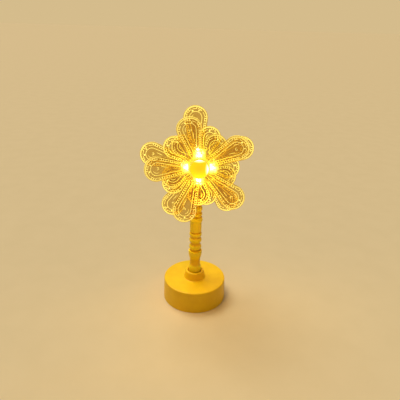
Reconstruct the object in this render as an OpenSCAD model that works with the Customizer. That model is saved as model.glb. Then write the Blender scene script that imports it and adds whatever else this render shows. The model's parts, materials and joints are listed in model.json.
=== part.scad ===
// Acrylic flower table lamp. Four engraved petal sheets turn on a lit core,
// which a turned stem carries on a round base with three cells and a slide switch.
// Millimetres. The origin is the centre of the base's foot, +Z is up, the flower faces -Y.

/* [Base] */
// Diameter of the base at its top edge
base_d = 70; // [69:0.5:84]
// Height of the base from the table to its flat top
base_h = 25; // [24:0.5:34]
// Extra radius at the foot, which lets the shell leave its mould
base_draft = 0.6; // [0:0.1:1.5]
// Thickness of the shell's side wall
shell_wall = 2; // [1.6:0.1:2.4]
// Thickness of the shell's flat top
top_t = 2.2; // [1.6:0.1:3]
// Rounding of the shell's top edge
edge_r = 1.4; // [0.4:0.1:1.5]
// How far the base plate is set up inside the foot rim
foot_recess = 0.6; // [0.2:0.1:1.5]
// Thickness of the base plate
plate_t = 2.4; // [2:0.1:3.2]
// Diameter of the posts that take the base screws
post_d = 6; // [5:0.1:7]
// Diameter of the base screws' shanks
screw_d = 2.5; // [2:0.1:3]
// Length of the base screws' shanks below the head
screw_l = 7; // [5:0.5:12]

/* [Collar] */
// Diameter of the collar at its rim
collar_d = 21; // [20:0.5:26]
// Height of the collar above the base's top
collar_h = 9; // [7:0.5:14]
// Extra radius of the collar at its foot
collar_flare = 1.4; // [0:0.1:3]
// Fillet where the collar meets the base's top
collar_fillet = 1; // [0.4:0.1:2]
// Rounding of the collar's rim
rim_r = 0.8; // [0.2:0.1:1]
// Depth of the recess that takes the stem's foot
socket_depth = 5; // [3:0.5:6]
// Width of the key pocket in the collar's rim
key_w = 2.4; // [1.6:0.1:3]
// Depth of the key pocket
key_depth = 4; // [1.5:0.1:4.6]

/* [Battery bay] */
// Diameter of a cell
cell_d = 10.5; // [10:0.1:10.8]
// Length of a cell over its nub
cell_l = 44.5; // [43:0.1:45]
// Gap between neighbouring cells
cell_gap = 0.3; // [0.2:0.1:0.8]
// Length of a contact spring as fitted
spring_l = 4.8; // [4.4:0.1:5]
// Diameter of the spring wire
spring_wire = 0.6; // [0.4:0.1:0.7]
// Turns of a contact spring
spring_turns = 3.5; // [3:0.5:4]
// Thickness of the contact plates
contact_t = 0.4; // [0.3:0.1:0.6]
// Thickness of the bay's walls
bay_wall = 1.4; // [1:0.1:1.8]
// Thickness of the battery door
door_t = 1.2; // [1:0.1:1.5]
// How far the door laps over the bay's walls
door_lip = 1.2; // [0.8:0.1:1.3]

/* [Switch] */
// Width of the switch knob
knob_w = 4.4; // [3.5:0.1:6]
// Height of the switch knob
knob_h = 3; // [2.4:0.1:3.6]
// How far the knob stands out of the base
knob_out = 1.5; // [0.8:0.1:3]
// Travel of the switch knob
knob_travel = 3.4; // [2:0.1:4]
// Width of the switch body
switch_w = 12.4; // [12:0.1:14]
// Height of the switch body and its frame
switch_h = 5.6; // [5:0.1:6.5]
// Depth of the switch body behind its frame
switch_depth = 4.6; // [4:0.1:6]

/* [Stem] */
// Diameter of the stem's plain barrels
barrel_d = 12.8; // [11.4:0.1:13.6]
// Length of the lower barrel
lower_barrel_l = 10.9; // [6:0.1:40]
// Length of the upper barrel
upper_barrel_l = 10; // [6:0.1:40]
// Diameter of the stem's foot
foot_d = 14; // [13:0.1:15]
// Straight height of the foot
foot_h = 10; // [5:0.5:14]
// Height over which the foot draws in to the waist
foot_taper_h = 4; // [3:0.5:10]
// Diameter of the waist
waist_d = 11.4; // [9:0.1:12.6]
// Straight height of the waist
waist_h = 4; // [1:0.5:12]
// Height over which the waist flares out again
flare_h = 9.8; // [6:0.1:20]
// Diameter of the flared lip
flare_d = 15; // [14.4:0.1:17]
// Height of the flared lip
lip_h = 3.2; // [1.5:0.1:4]
// Height of a bead
bead_h = 6.4; // [4:0.1:9]
// How far a bead stands proud of the barrel
bead_proud = 0.5; // [0.3:0.1:1.5]
// Height of a ring
ring_h = 3.8; // [2:0.1:6]
// Height of the thin ring over the ferrule
thin_ring_h = 2.8; // [2:0.1:5]
// How far a ring stands proud of the barrel
ring_proud = 0.45; // [0.1:0.05:1]
// Height of a groove
groove_h = 2; // [0.8:0.1:3]
// Depth of a groove
groove_depth = 0.9; // [0.2:0.1:1.2]
// How far the ferrule over the stem's joint bulges
bulge_proud = 0.9; // [0.3:0.1:2]
// Bore for the lead wires
stem_bore = 5; // [4.4:0.1:5.4]
// Diameter of the spigot in the base and of the tenons
tenon_d = 8; // [7:0.1:8.6]
// Length of the tenons
tenon_l = 8; // [5:0.5:12]

/* [Head] */
// Tilt of the flower's axis above level
head_tilt = 7; // [0:1:20]
// Diameter of the bracket's sleeve on the stem
sleeve_d = 14.4; // [12:0.1:17]
// Height of the sleeve up to the flower's axis
sleeve_h = 18.5; // [16:0.5:26]
// Diameter of the bracket's round boss
boss_d = 20; // [19:0.2:23]
// Diameter of the core that the sheets turn on
core_d = 16; // [15:0.2:17]
// Wall of the core
core_wall = 2; // [1.6:0.1:2.6]
// Diameter of the core's flange
flange_d = 24; // [22:0.2:27]
// Thickness of the core's flange
flange_t = 2; // [1.5:0.1:3]
// Thickness of the spacer rings
spacer_t = 1.2; // [1:0.1:6]
// Diameter of the spacer rings
spacer_d = 20; // [19:0.2:24]
// Thickness of the ring that holds the lights
led_ring_t = 6.4; // [6.2:0.1:9]
// Diameter of the ring that holds the lights
led_ring_d = 22; // [20:0.2:26]
// Diameter of a light
led_d = 4.9; // [4:0.1:5.2]
// Radius at which the lights end
led_reach = 15; // [14.6:0.2:19]
// Diameter of the front cap
cap_d = 17.6; // [17.2:0.2:22]
// Thickness of the front cap at its rim
cap_t = 1.4; // [1.2:0.1:4]
// Crown of the front cap above its rim
cap_crown = 1.5; // [0.8:0.1:4]

/* [Petal sheets] */
// Thickness of the acrylic
sheet_t = 2; // [1.5:0.1:3]
// Petals on each sheet
petals = 5; // [5:1:6]
// Radius of the solid middle of a sheet
hub_r = 15; // [13:0.2:17]
// Radius of a petal's root
root_r = 6; // [5.6:0.1:6.6]
// Radius of a large petal's tip
large_tip_r = 12; // [9:0.2:14]
// Radius of a medium petal's tip
medium_tip_r = 11.6; // [9:0.2:13]
// Reach of the rear large sheet
rear_large_reach = 59; // [48:0.5:66]
// Reach of the rear medium sheet
rear_medium_reach = 41.4; // [38:0.5:48]
// Reach of the front large sheet
front_large_reach = 55; // [48:0.5:62]
// Reach of the front medium sheet
front_medium_reach = 38; // [37:0.5:46]
// Turn of the rear large sheet on the core
rear_large_turn = 22; // [0:1:71]
// Turn of the rear medium sheet on the core
rear_medium_turn = 70; // [0:1:71]
// Turn of the front large sheet on the core
front_large_turn = 33; // [0:1:71]
// Turn of the front medium sheet on the core
front_medium_turn = 54; // [0:1:71]
// Forward lean of the front large sheet's petals
front_cup = 21; // [10:1:28]
// Width of an engraved line
line_w = 0.5; // [0.3:0.05:0.8]
// Depth of the engraving
engrave_depth = 0.3; // [0.1:0.05:0.5]
// Distance of the outer border line from the edge
border_inset = 1.1; // [0.6:0.1:1.4]
// Distance of the inner border line from the edge
inner_border_inset = 3; // [2.4:0.1:3.8]
// Distance of the leaf outline from the edge at the tip
leaf_inset = 5.6; // [5:0.1:6.4]

/* [Hidden] */
$fn = 64;

// Clearances: push fits, running fits, plain play, and the overshoot of a cut
fit = 0.05;
slip = 0.15;
play = 0.25;
cut = 1;

// Colours
ivory = [0.96, 0.76, 0.30];
ivory_shade = [0.85, 0.62, 0.22];
acrylic = [1, 0.88, 0.55, 0.45];
steel = [0.72, 0.72, 0.70];
dark = [0.16, 0.15, 0.15];
cell_wrap = [0.25, 0.42, 0.30];
board_green = [0.20, 0.45, 0.28];
led_white = [1, 0.97, 0.85];
red = [0.75, 0.15, 0.12];
tan = [0.82, 0.70, 0.52];

// Base shell
top_r = base_d / 2;
foot_r = top_r + base_draft;
function wall_r(z) = foot_r - base_draft * z / base_h;
collar_r = collar_d / 2;
collar_foot_r = collar_r + collar_flare;
rim_z = base_h + collar_h;
socket_z = rim_z - socket_depth;
socket_gap = 1.2;
socket_r = foot_d / 2 + socket_gap;
spigot_l = collar_h - socket_depth + top_t + 1.8;
spigot_r = foot_d / 2 - 1;
ceiling_z = base_h - top_t;
key_angle = 54;
key_wall = 0.9;

// Base plate and battery bay
plate_z = foot_recess;
plate_top = plate_z + plate_t;
plate_r = wall_r(plate_top) - shell_wall - play;
screw_head_d = 2 * screw_d - 0.2;
screw_head_h = 1.4;
screw_ring_r = plate_r - screw_head_d / 2 - 1.2;
screw_angles = [52, 128, 232, 308];
cell_pitch = cell_d + cell_gap;
cell_ys = [-cell_pitch, 0, cell_pitch];
cell_signs = [1, -1, 1];
cell_z = plate_z + door_t + play + cell_d / 2;
bay_l = cell_l + spring_l + 2 * contact_t + 2 * slip;
bay_w = 3 * cell_pitch;
bay_top = cell_z + cell_d / 2 + play;
bay_roof = bay_top + bay_wall;
rib_t = 1;
rib_drop = 2;
door_l = bay_l + 2 * door_lip;
door_w = bay_w + 2 * door_lip;
peg_d = 3;
peg_l = 4;
peg_x = 10;
peg_y = -(bay_w / 2 + bay_wall + peg_d / 2 + 0.4);
ear_w = 7;
tongue_w = 10;
tongue_t = 1;
tongue_l = 5;
tongue_y = bay_w / 2 + bay_wall + 1.2;
tab_reach = tongue_y + tongue_t + 1;
nail_r = 4;
nail_depth = 0.8;

// Contacts: each cell's plus end looks to its sign along X
contact_h = 9.2;
contact_w = 8;
tab_w = 2.4;
tab_top = bay_roof + 2;
nub_x = bay_l / 2 - contact_t - slip;
spring_foot_r = 3.5;
spring_end_r = 2.2;

// Switch, inside the rear wall, with the resistor beside it clear of the bay's roof
resistor_d = 2.4;
wiring_room = 1.4;
switch_z = bay_roof + wiring_room + resistor_d / 2;
frame_t = 0.5;
frame_w = switch_w + 9.2;
pad_w = frame_w + 2;
pad_h = switch_h + 2;
wall_in = wall_r(base_h) - shell_wall;
pad_y = sqrt(wall_in * wall_in - pad_w * pad_w / 4) - play;
frame_y = pad_y - frame_t;
body_y = frame_y - switch_depth;
slider_w = knob_w + 1.6;
slider_h = knob_h + 1.2;
slider_t = 2.4;
slot_w = knob_w + knob_travel + 2 * play;
slot_h = knob_h + 2 * play;
knob_x = knob_travel / 2;
lug_d = 1.9;
lug_head_d = 3.6;
lug_head_h = 1.2;
lug_l = 2.6;
lug_x = switch_w / 2 + lug_head_d / 2 + 0.5;
terminal_pitch = 3.5;
terminal_l = 3.2;
terminal_w = 1.2;
terminal_t = 0.6;
terminal_y = body_y - terminal_l;

// Stem: each stretch of the turning is height, lower radius, upper radius, and how far it bulges
barrel_r = barrel_d / 2;
tenon_r = tenon_d / 2;
bore_r = stem_bore / 2;
groove = [groove_h, barrel_r - groove_depth, barrel_r - groove_depth, 0];
bead = [bead_h, barrel_r - groove_depth, barrel_r - groove_depth, bead_proud + groove_depth];
ring = [ring_h, barrel_r, barrel_r, ring_proud];
thin_ring = [thin_ring_h, barrel_r, barrel_r, ring_proud];
ferrule = [bead_h, barrel_r, barrel_r, bulge_proud];
lip = [lip_h, flare_d / 2, flare_d / 2, 0];
tenon = [tenon_l, tenon_r, tenon_r, 0];
lower_turning = [
    [spigot_l, spigot_r, spigot_r, 0], [foot_h, foot_d / 2, foot_d / 2, 0],
    [foot_taper_h, foot_d / 2, waist_d / 2, 0], [waist_h, waist_d / 2, waist_d / 2, 0],
    [flare_h, waist_d / 2, flare_d / 2, 0], lip, groove, bead, groove, bead, groove, ring, groove,
    [lower_barrel_l, barrel_r, barrel_r, 0], tenon
];
upper_turning = [
    ferrule, groove, thin_ring, groove, bead, groove, [upper_barrel_l, barrel_r, barrel_r, 0],
    ring, groove, bead, groove, lip, tenon
];
function height(turning, count) = count == 0 ? 0 : turning[count - 1][0] + height(turning, count - 1);
lower_z = socket_z - spigot_l;
upper_z = lower_z + height(lower_turning, len(lower_turning) - 1);
stem_top = upper_z + height(upper_turning, len(upper_turning) - 1);

// Head, measured along the flower's axis from the stem's axis
head_z = stem_top + sleeve_h;
boss_r = boss_d / 2;
core_r = core_d / 2;
core_in = core_r - core_wall;
flange_s = boss_r - 1;
core_s = flange_s - 5;
rear_large_s = flange_s + flange_t + slip;
spacer_rear_s = rear_large_s + sheet_t + slip;
rear_medium_s = spacer_rear_s + spacer_t + slip;
led_ring_s = rear_medium_s + sheet_t + slip;
led_s = led_ring_s + led_ring_t / 2;
front_medium_s = led_ring_s + led_ring_t + slip;
spacer_front_s = front_medium_s + sheet_t + slip;
front_large_s = spacer_front_s + spacer_t + slip;
core_end = front_large_s + sheet_t + slip;
led_foot = core_r + 0.4;
led_lead_d = 0.5;
led_lead_gap = 1.2;
board_t = 1.2;
board_s = led_s - led_lead_d / 2 - fit - board_t;
cap_spigot = 5;
root_x = 13.5;
fold_x = hub_r - 2.5;

// Lead wires and the resistor in their run
wire_d = 1.3;
wire_x = 0.9;
solder_gap = 0.45;
resistor_l = 6.3;
resistor_lead_d = 0.6;
resistor_lead_l = 3.2;
resistor_y = terminal_y - fit;
resistor_end = resistor_y - resistor_l - 2 * resistor_lead_l;

// Helpers

// Points of a circular arc in the plane
function arc(x, y, r, from, to, steps = 8) =
    [for (i = [0:steps]) let (a = from + (to - from) * i / steps) [x + r * cos(a), y + r * sin(a)]];

// Outline of a turning: an eased taper between the radii, plus a parabolic bulge
function stretch(s, z) =
    let (steps = s[1] == s[2] && s[3] == 0 ? 1 : 8)
    [for (i = [0:steps]) let (u = i / steps)
        [s[1] + (s[2] - s[1]) * (1 - cos(180 * u)) / 2 + s[3] * (1 - (2 * u - 1) * (2 * u - 1)), z + s[0] * u]];
function all_points(turning) = [for (i = [0:len(turning) - 1]) each stretch(turning[i], height(turning, i))];
function distinct(points) =
    [for (i = [0:len(points) - 1]) if (i == 0 || norm(points[i] - points[i - 1]) > 0.001) points[i]];

// A turned length with the wire bore through it
module turned(turning) rotate_extrude()
    polygon(concat([[bore_r, 0]], distinct(all_points(turning)), [[bore_r, height(turning, len(turning))]]));

// Round tube swept along points, its rings carried along without twisting
function unit(v) = v / norm(v);
function heading(path, i) = unit(path[min(i + 1, len(path) - 1)] - path[max(i - 1, 0)]);
function square_to(v, t) = unit(v - t * (v * t));
function carried(path, start) =
    [for (i = 0, n = square_to(start, heading(path, 0)); i < len(path);
        i = i + 1, n = i < len(path) ? square_to(n, heading(path, i)) : n) n];
module tube(path, r, start, sides = 6) {
    normals = carried(path, start);
    last = len(path) - 1;
    points = [for (i = [0:last]) let (n = normals[i], b = cross(heading(path, i), n))
        for (k = [0:sides - 1]) path[i] + r * (n * cos(360 * k / sides) + b * sin(360 * k / sides))];
    walls = [for (i = [0:last - 1], k = [0:sides - 1]) let (a = i * sides + k, b = i * sides + (k + 1) % sides)
        each [[a, a + sides, b], [b, a + sides, b + sides]]];
    caps = [for (k = [1:sides - 2]) each
        [[0, k, k + 1], [last * sides, last * sides + k + 1, last * sides + k]]];
    polyhedron(points, concat(walls, caps));
}

// Smooth run through hand-placed points
function spline(p, steps = 4) = concat([for (i = [0:len(p) - 2], j = [0:steps - 1]) let (
        a = p[max(i - 1, 0)], b = p[i], c = p[i + 1], d = p[min(i + 2, len(p) - 1)], u = j / steps)
    b + (c - a) * u / 2 + (2 * a - 5 * b + 4 * c - d) * u * u / 2 + (3 * b - a - 3 * c + d) * u * u * u / 2],
    [p[len(p) - 1]]);

// Countersunk or flat-headed screw along +Z, with its head's outer face at 0 and a cross recess
module screw(d, l, head_d, head_h, sunk) difference() {
    union() {
        cylinder(h = l, d = d);
        cylinder(h = head_h, d1 = head_d, d2 = sunk ? d : head_d);
    }
    for (a = [0, 90]) rotate(a) translate([0, 0, head_h / 4 - cut / 2])
        cube([head_d * 0.55, head_d * 0.14, head_h / 2 + cut], center = true);
}

// Flower's own frame: Z along its axis, Y up the sheets
module on_head(s) translate([0, 0, head_z]) rotate([90 - head_tilt, 0, 0]) translate([0, 0, s]) children();
function head_point(x, s) = [x, -s * cos(head_tilt), head_z + s * sin(head_tilt)];

// Flat washer along Z
module washer(outer, inner, h) difference() {
    cylinder(h = h, r = outer);
    translate([0, 0, -cut]) cylinder(h = h + 2 * cut, r = inner);
}

// Base

function shell_outline() = concat(
    [[0, 0], [foot_r, 0]],
    arc(top_r - edge_r, base_h - edge_r, edge_r, 0, 90),
    arc(collar_foot_r + collar_fillet, base_h + collar_fillet, collar_fillet, 270, 180),
    arc(collar_r - rim_r, rim_z - rim_r, rim_r, 0, 90),
    [[0, rim_z]]
);
module shell_hollow() rotate_extrude() polygon([
    [0, -cut], [wall_r(-cut) - shell_wall, -cut],
    [wall_r(ceiling_z) - shell_wall, ceiling_z], [0, ceiling_z]
]);

module base_posts() for (a = screw_angles) rotate(a) translate([screw_ring_r, 0, plate_top]) {
    cylinder(h = ceiling_z - plate_top + cut, d = post_d);
    translate([0, -rib_t / 2, screw_l]) cube([post_d, rib_t, ceiling_z - plate_top - screw_l + cut]);
}

module base_shell() color(ivory) difference() {
    union() {
        difference() {
            rotate_extrude() polygon(shell_outline());
            shell_hollow();
        }
        intersection() {
            rotate_extrude() polygon(shell_outline());
            union() {
                base_posts();
                translate([-pad_w / 2, pad_y, switch_z - pad_h / 2]) cube([pad_w, foot_r - pad_y, pad_h]);
                translate([0, 0, lower_z]) cylinder(h = ceiling_z - lower_z + cut, r = spigot_r + 2);
            }
        }
    }
    translate([0, 0, socket_z]) cylinder(h = socket_depth + cut, r = socket_r);
    translate([0, 0, lower_z - cut]) cylinder(h = socket_z - lower_z + 2 * cut, r = spigot_r + fit);
    rotate(key_angle) translate([spigot_r, -key_w / 2, rim_z - key_depth])
        cube([collar_r - key_wall - spigot_r, key_w, key_depth + cut]);
    for (a = screw_angles) rotate(a) translate([screw_ring_r, 0, plate_top - cut])
        cylinder(h = screw_l - plate_t + 2 * cut, d = screw_d + 2 * fit);
    translate([-slot_w / 2, pad_y - cut, switch_z - slot_h / 2]) cube([slot_w, foot_r, slot_h]);
    for (s = [-1, 1]) translate([s * lug_x, pad_y - cut, switch_z]) rotate([-90, 0, 0])
        cylinder(h = lug_l - frame_t + 2 * cut, d = lug_d + 2 * fit);
}

// Outline of the battery door, grown by the clearance of its rebate
module door_plate(grow, h) {
    translate([-door_l / 2 - grow, -door_w / 2 - grow, 0]) cube([door_l + 2 * grow, door_w + 2 * grow, h]);
    translate([-tongue_w / 2 - 1 - grow, 0, 0]) cube([tongue_w + 2 + 2 * grow, tab_reach + grow, h]);
    for (s = [-1, 1]) translate([s * peg_x - ear_w / 2 - grow, peg_y - peg_d / 2 - 1 - grow, 0])
        cube([ear_w + 2 * grow, -peg_y, h]);
}

module base_plate() color(ivory_shade) difference() {
    union() {
        translate([0, 0, plate_z]) cylinder(h = plate_t, r = plate_r);
        translate([-bay_l / 2 - bay_wall, -bay_w / 2 - bay_wall, plate_z])
            cube([bay_l + 2 * bay_wall, bay_w + 2 * bay_wall, bay_roof - plate_z]);
    }
    difference() {
        translate([-bay_l / 2, -bay_w / 2, -cut]) cube([bay_l, bay_w, bay_top + cut]);
        for (s = [-1, 1]) translate([-cell_l / 4, s * cell_pitch / 2 - rib_t / 2, bay_top - rib_drop])
            cube([cell_l / 2, rib_t, rib_drop + cut]);
    }
    translate([0, 0, plate_z - cut]) door_plate(slip, door_t + slip + cut);
    translate([-tongue_w / 2 - play, tongue_y - play, 0]) cube([tongue_w + 2 * play, tongue_t + 2 * play, plate_top + cut]);
    for (s = [-1, 1]) translate([s * peg_x, peg_y, 0]) cylinder(h = plate_top + cut, d = peg_d + 2 * slip);
    translate([0, tab_reach, plate_z - cut]) cylinder(h = nail_depth + cut, r = nail_r);
    for (a = screw_angles) rotate(a) translate([screw_ring_r, 0, plate_z]) {
        translate([0, 0, -cut]) cylinder(h = plate_t + 2 * cut, d = screw_d + 2 * slip);
        cylinder(h = screw_head_h, d1 = screw_head_d + 2 * slip, d2 = screw_d + 2 * slip);
    }
    for (s = [-1, 1]) translate([s * (bay_l / 2 - contact_t / 2), -s * cell_pitch, bay_top])
        cube([contact_t + 2 * slip, tab_w + 2 * slip, 3 * bay_wall], center = true);
}

module base_screws() color(steel) for (a = screw_angles) rotate(a) translate([screw_ring_r, 0, plate_z])
    screw(screw_d, screw_l, screw_head_d, screw_head_h, true);

module battery_door() color(ivory_shade) {
    translate([0, 0, plate_z]) difference() {
        door_plate(0, door_t);
        for (i = [-2:2]) translate([-tongue_w / 2, tongue_y - 4 + i, -cut]) cube([tongue_w, 0.5, cut + 0.3]);
    }
    translate([-tongue_w / 2, tongue_y, plate_z]) cube([tongue_w, tongue_t, door_t + tongue_l]);
    for (s = [-1, 1]) translate([s * peg_x, peg_y, plate_z]) cylinder(h = door_t + peg_l, d = peg_d);
}

// Cells and contacts

module cell(i) {
    r = cell_d / 2;
    nub_r = 1.9;
    nub_h = 0.8;
    shoulder = 0.6;
    translate([0, cell_ys[i], cell_z]) rotate([0, 90 * cell_signs[i], 0]) translate([0, 0, nub_x - cell_l])
        rotate_extrude() polygon([
            [0, 0], [r - shoulder, 0], [r, shoulder], [r, cell_l - nub_h - shoulder],
            [r - shoulder, cell_l - nub_h], [nub_r, cell_l - nub_h], [nub_r, cell_l], [0, cell_l]
        ]);
}
module cell_front() color(cell_wrap) cell(0);
module cell_middle() color(cell_wrap) cell(1);
module cell_rear() color(cell_wrap) cell(2);

// Conical spring from its contact plate at height 0 to the cell
spring_rings = 8;
spring_path = [for (i = [0:spring_turns * spring_rings]) let (u = i / (spring_turns * spring_rings))
    [(spring_foot_r + (spring_end_r - spring_foot_r) * u) * cos(360 * spring_turns * u),
     (spring_foot_r + (spring_end_r - spring_foot_r) * u) * sin(360 * spring_turns * u),
     spring_wire / 2 + slip + (spring_l - spring_wire - 2 * slip) * u]];
spring_clear = min([for (i = [0:len(spring_path) - 1], j = [0:len(spring_path) - 1])
    if (j > i + spring_rings / 2) norm(spring_path[i] - spring_path[j])]) - spring_wire;
echo(spring_gap_to_itself = spring_clear);

module contact_springs() color(steel) for (i = [0:2])
    translate([-cell_signs[i] * (bay_l / 2 - contact_t), cell_ys[i], cell_z]) rotate([0, 90 * cell_signs[i], 0])
        tube(spring_path, spring_wire / 2, [0, 0, 1]);

// A contact plate against an end wall, from one cell's line to another's
module contact(side, first, last, tab) {
    translate([side * (bay_l / 2 - contact_t / 2), (cell_ys[first] + cell_ys[last]) / 2, cell_z])
        cube([contact_t, cell_ys[last] - cell_ys[first] + contact_w, contact_h], center = true);
    if (tab) translate([side * (bay_l / 2 - contact_t / 2) - contact_t / 2, cell_ys[first] - tab_w / 2, cell_z])
        cube([contact_t, tab_w, tab_top - cell_z]);
}
module contact_plates() color(steel) {
    contact(1, 0, 0, true);
    contact(1, 1, 2, false);
    contact(-1, 0, 1, false);
    contact(-1, 2, 2, true);
}

// Switch

module switch_frame() color(steel) difference() {
    translate([-frame_w / 2, frame_y, switch_z - switch_h / 2]) cube([frame_w, frame_t, switch_h]);
    translate([-slot_w / 2, frame_y - cut, switch_z - slot_h / 2]) cube([slot_w, frame_t + 2 * cut, slot_h]);
    for (s = [-1, 1]) translate([s * lug_x, frame_y - cut, switch_z]) rotate([-90, 0, 0])
        cylinder(h = frame_t + 2 * cut, d = lug_d + 2 * slip);
}

module switch_body() color(dark) difference() {
    translate([-switch_w / 2, body_y, switch_z - switch_h / 2]) cube([switch_w, switch_depth, switch_h]);
    translate([-(slider_w + knob_travel) / 2 - play, frame_y - slider_t - 2 * play, switch_z - slider_h / 2 - play])
        cube([slider_w + knob_travel + 2 * play, slider_t + 2 * play + cut, slider_h + 2 * play]);
}

module switch_terminals() color(steel) for (i = [-1:1])
    translate([i * terminal_pitch - terminal_w / 2, terminal_y, switch_z - terminal_t / 2])
        cube([terminal_w, terminal_l, terminal_t]);

module switch_knob() color(dark) translate([knob_x, 0, switch_z]) {
    tip_y = top_r + knob_out;
    translate([-slider_w / 2, frame_y - slider_t - play, -slider_h / 2]) cube([slider_w, slider_t, slider_h]);
    translate([-knob_w / 2, frame_y - slider_t / 2, -knob_h / 2])
        cube([knob_w, tip_y - frame_y + slider_t / 2 - 0.4, knob_h]);
    for (i = [-1:1]) translate([i * knob_w / 3, tip_y - 0.4, -knob_h / 2]) cylinder(h = knob_h, r = 0.4);
}

module switch_screws() color(steel) for (s = [-1, 1])
    translate([s * lug_x, frame_y - lug_head_h, switch_z]) rotate([-90, 0, 0])
        screw(lug_d, lug_head_h + lug_l, lug_head_d, lug_head_h, false);

// Wiring

module resistor() color(tan) translate([0, resistor_y, switch_z]) rotate([90, 0, 0]) {
    cylinder(h = resistor_l + 2 * resistor_lead_l, d = resistor_lead_d);
    translate([0, 0, resistor_lead_l]) cylinder(h = resistor_l, d = resistor_d);
}

wire_level = switch_z + 0.6;
function rise(x) = concat(
    [[x, 0.4, lower_z - 1], [x, 0, lower_z + 4]],
    [for (u = [0.25:0.25:0.75]) [x, 0, lower_z + (head_z - lower_z) * u]],
    [[x, 0, head_z - 7], [x, -1.2, head_z - 1.6]],
    [for (s = [6, 11]) head_point(x, s)],
    [head_point(x, board_s - fit)]
);
red_route = concat(
    [[0, resistor_end - fit, switch_z], [0.2, resistor_end - 3, switch_z], [0.7, 2.6, wire_level]], rise(wire_x));
black_route = concat(
    [[-bay_l / 2 + contact_t / 2, cell_ys[2], tab_top + fit + wire_d / 2], [-20, 9, wire_level],
     [-12, 4.4, wire_level], [-5, 1.4, wire_level]], rise(-wire_x));
jumper_route = [
    [bay_l / 2 - contact_t / 2, cell_ys[0], tab_top + fit + wire_d / 2], [23.4, -4, wire_level],
    [21, 5, wire_level + 0.6], [16, 13, wire_level + 0.6], [9, 18.6, wire_level],
    [terminal_pitch, terminal_y - 1.5, switch_z], [terminal_pitch, terminal_y - solder_gap, switch_z]
];
module lead_wires() {
    color(red) tube(spline(red_route), wire_d / 2, [1, 0, 0]);
    color(dark) tube(spline(black_route), wire_d / 2, [0, 0, 1]);
    color(red) tube(spline(jumper_route), wire_d / 2, [0, 0, 1]);
}

// Stem

module stem_lower() color(ivory) translate([0, 0, lower_z]) turned(lower_turning);

module stem_upper() color(ivory) translate([0, 0, upper_z]) difference() {
    turned(upper_turning);
    translate([0, 0, -cut]) cylinder(h = tenon_l + play + cut, r = tenon_r + fit);
}

// Head

module head_bracket() color(ivory) difference() {
    union() {
        translate([0, 0, stem_top]) cylinder(h = sleeve_h, d = sleeve_d);
        on_head(0) rotate_extrude()
            polygon(concat(arc(0, 0, boss_r, -90, 0, 12), [[boss_r, flange_s], [0, flange_s]]));
    }
    translate([0, 0, stem_top - cut]) cylinder(h = tenon_l + play + cut, r = tenon_r + fit);
    translate([0, 0, stem_top]) cylinder(h = sleeve_h, r = bore_r);
    on_head(-bore_r) cylinder(h = boss_r, r = core_in - 1);
    on_head(core_s) cylinder(h = boss_r, r = core_r + fit);
}

module lamp_core() color(ivory_shade) on_head(0) difference() {
    union() {
        translate([0, 0, core_s]) cylinder(h = core_end - core_s, r = core_r);
        translate([0, 0, flange_s]) cylinder(h = flange_t, d = flange_d);
    }
    translate([0, 0, core_s - cut]) cylinder(h = core_end - core_s + 2 * cut, r = core_in);
    for (a = [0, 90]) translate([0, 0, led_s]) rotate(a) rotate([0, 90, 0])
        translate([0, 0, -core_d]) cylinder(h = 2 * core_d, r = led_lead_gap);
}

module led_board() color(board_green) on_head(board_s) cylinder(h = board_t, r = core_in - fit);

module led_ring() color(ivory_shade) on_head(led_ring_s) difference() {
    washer(led_ring_d / 2, core_r + fit, led_ring_t);
    for (a = [0, 90]) translate([0, 0, led_ring_t / 2]) rotate(a) rotate([0, 90, 0])
        translate([0, 0, -led_ring_d]) cylinder(h = 2 * led_ring_d, d = led_d + 2 * fit);
}

module leds() color(led_white) on_head(led_s) for (k = [0:3]) rotate(90 * k) rotate([0, 90, 0]) {
    dome_z = led_reach - led_d / 2;
    rotate_extrude() polygon(concat([[0, led_foot], [led_d / 2, led_foot]], arc(0, dome_z, led_d / 2, 0, 90, 12)));
    for (s = [-1, 1]) translate([0, s * led_lead_gap / 2, core_in - 2])
        cylinder(h = led_foot - core_in + 2 + cut, d = led_lead_d);
}

module spacer_rear() color(ivory_shade) on_head(spacer_rear_s) washer(spacer_d / 2, core_r + fit, spacer_t);
module spacer_front() color(ivory_shade) on_head(spacer_front_s) washer(spacer_d / 2, core_r + fit, spacer_t);

module front_cap() color(ivory) on_head(core_end) rotate_extrude() {
    crown_r = (cap_d * cap_d / 4 + cap_crown * cap_crown) / (2 * cap_crown);
    half = asin(cap_d / 2 / crown_r);
    polygon(concat(
        [[0, -cap_spigot], [core_in - fit, -cap_spigot], [core_in - fit, 0], [cap_d / 2, 0]],
        arc(0, cap_t + cap_crown - crown_r, crown_r, 90 - half, 90, 8)));
}

// Petal sheets

// Lean of the straight sides that touch a small disc and a large one along X
function lean(x0, r0, x1, r1) = asin((r1 - r0) / (x1 - x0));

// Outline of a whole sheet: before each petal the hub's edge in the notch, then the arc of the petal's tip
function sheet_outline(tip_x, tip_r) =
    let (
        pitch = 360 / petals,
        a = lean(root_x, root_r, tip_x, tip_r),
        half = a + asin((root_r - root_x * sin(a)) / hub_r))
    [for (k = [0:petals - 1]) let (t = pitch * k) each concat(
        arc(0, 0, hub_r, t - pitch + half, t - half, 4),
        arc(tip_x * cos(t), tip_x * sin(t), tip_r, t - 90 - a, t + 90 + a, 24))];

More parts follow.
